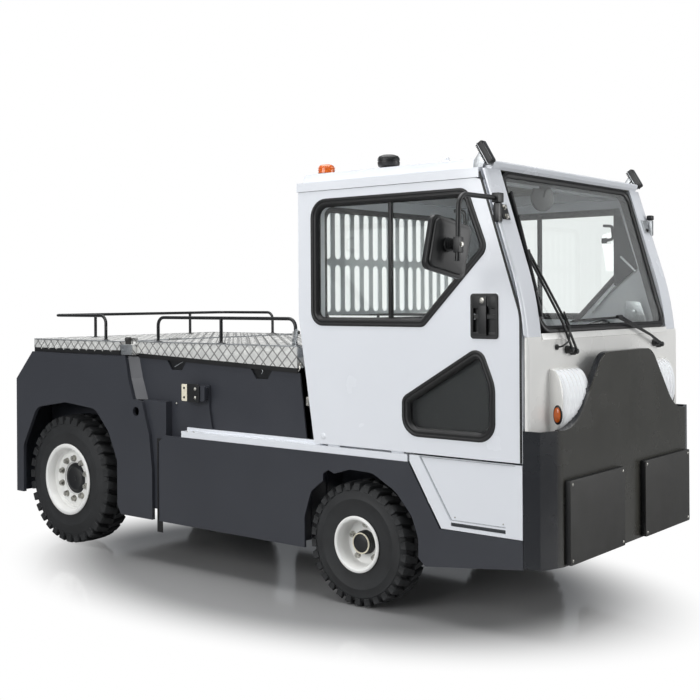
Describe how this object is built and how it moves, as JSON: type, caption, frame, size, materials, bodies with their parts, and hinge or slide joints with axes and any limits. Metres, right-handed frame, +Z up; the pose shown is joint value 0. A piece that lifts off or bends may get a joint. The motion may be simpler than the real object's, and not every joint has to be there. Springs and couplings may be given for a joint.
{
  "type": "airport baggage tug",
  "caption": "Electric airport tug with a sliding-door cab, humped front bumper, steered front wheels and two hinged battery deck lids.",
  "frame": {"origin": "on the ground under the middle of the whole length and width, the hitch and the right mirror included", "axes": "+X forward, +Y to the vehicle's left, +Z up"},
  "size_m": [3.91, 1.988, 2.1409],
  "materials": {
    "grey_paint": "satin",
    "white_paint": "gloss",
    "black_paint": "satin",
    "checker_plate": "satin",
    "black_rubber": "matt",
    "tyre": "matt",
    "clear_glass": "clear",
    "black_plastic": "matt",
    "lamp_lens": "gloss",
    "amber_lens": "gloss",
    "seat_cloth": "woven"
  },
  "bodies": {
    "chassis": {"frame_rails": "grey_paint", "frame_crossmembers": "grey_paint", "rear_side_plates": "grey_paint", "storage_tub": "grey_paint", "drive_housing": "grey_paint", "rear_panel": "grey_paint", "tow_hitch": "grey_paint", "battery": "black_paint", "battery_covers": "grey_paint", "side_skirts": "grey_paint", "door_rails": "white_paint", "step_panels": "white_paint", "front_bumper": "grey_paint", "bumper_pads": "black_rubber", "cab_cowl": "white_paint", "cab_pillars": "white_paint", "cab_rear_wall": "white_paint", "window_guard": "white_paint", "cab_glass": "clear_glass", "glass_seals": "black_rubber", "cab_roof": "white_paint", "cab_floor": "grey_paint", "dashboard": "black_plastic", "steering_wheel": "black_plastic", "seat_cushions": "seat_cloth", "seat_backs": "seat_cloth", "headlamps": "lamp_lens", "marker_lamps": "amber_lens", "roof_lamps": "black_plastic", "mirrors": "black_plastic", "wipers": "black_plastic", "lid_seals": "black_rubber", "deck_bridge": "checker_plate", "front_axle": "black_paint", "rear_axle": "black_paint"},
    "rear_lid": {"rear_lid": "checker_plate", "rear_lid_rail": "black_paint"},
    "front_lid": {"front_lid": "checker_plate", "front_lid_rails": "black_paint"},
    "tie_rod": {"tie_rod": "black_paint"},
    "knuckle_right": {"knuckle_right": "black_paint"},
    "front_wheel_right": {"front_rim_right": "white_paint", "front_tyre_right": "tyre"},
    "rear_wheel_right": {"rear_rim_right": "white_paint", "rear_tyre_right": "tyre"},
    "door_right": {"door_panel_right": "white_paint", "door_glass_right": "clear_glass", "door_trim_right": "black_rubber"},
    "knuckle_left": {"knuckle_left": "black_paint"},
    "front_wheel_left": {"front_rim_left": "white_paint", "front_tyre_left": "tyre"},
    "rear_wheel_left": {"rear_rim_left": "white_paint", "rear_tyre_left": "tyre"},
    "door_left": {"door_panel_left": "white_paint", "door_glass_left": "clear_glass", "door_trim_left": "black_rubber"}
  },
  "joints": [
    {"name": "rear_wheel_right_spin", "type": "hinge", "parent": "chassis", "child": "rear_wheel_right", "pos_m": [-1.335, -0.404, 0.382], "axis": [0, 1, 0], "continuous": true},
    {"name": "steer_right", "type": "hinge", "parent": "chassis", "child": "knuckle_right", "pos_m": [0.896, -0.3165, 0.295], "axis": [0, 0, 1], "range_deg": [-35, 35]},
    {"name": "front_wheel_right_spin", "type": "hinge", "parent": "knuckle_right", "child": "front_wheel_right", "pos_m": [0.896, -0.4365, 0.295], "axis": [0, 1, 0], "continuous": true},
    {"name": "door_right_slide", "type": "slide", "parent": "chassis", "child": "door_right", "axis": [-1, 0, 0], "range_m": [0, 0.73]},
    {"name": "rear_wheel_left_spin", "type": "hinge", "parent": "chassis", "child": "rear_wheel_left", "pos_m": [-1.335, 0.86, 0.382], "axis": [0, 1, 0], "continuous": true},
    {"name": "steer_left", "type": "hinge", "parent": "chassis", "child": "knuckle_left", "pos_m": [0.896, 0.7725, 0.295], "axis": [0, 0, 1], "range_deg": [-35, 35]},
    {"name": "front_wheel_left_spin", "type": "hinge", "parent": "knuckle_left", "child": "front_wheel_left", "pos_m": [0.896, 0.8925, 0.295], "axis": [0, 1, 0], "continuous": true},
    {"name": "door_left_slide", "type": "slide", "parent": "chassis", "child": "door_left", "axis": [-1, 0, 0], "range_m": [0, 0.73]},
    {"name": "tie_rod_pivot", "type": "hinge", "parent": "knuckle_right", "child": "tie_rod", "pos_m": [0.766, -0.3165, 0.196], "axis": [0, 0, 1], "range_deg": [-35, 35]},
    {"name": "rear_lid_hinge", "type": "hinge", "parent": "chassis", "child": "rear_lid", "pos_m": [-1.642, 0.228, 1.163], "axis": [0, -1, 0], "range_deg": [0, 75]},
    {"name": "front_lid_hinge", "type": "hinge", "parent": "chassis", "child": "front_lid", "pos_m": [-0.722, 0.228, 1.222], "axis": [0, -1, 0], "range_deg": [0, 75]}
  ],
  "couplings": [
    {"joint": "steer_left", "follows": "steer_right", "ratio": 1},
    {"joint": "tie_rod_pivot", "follows": "steer_right", "ratio": -1}
  ]
}
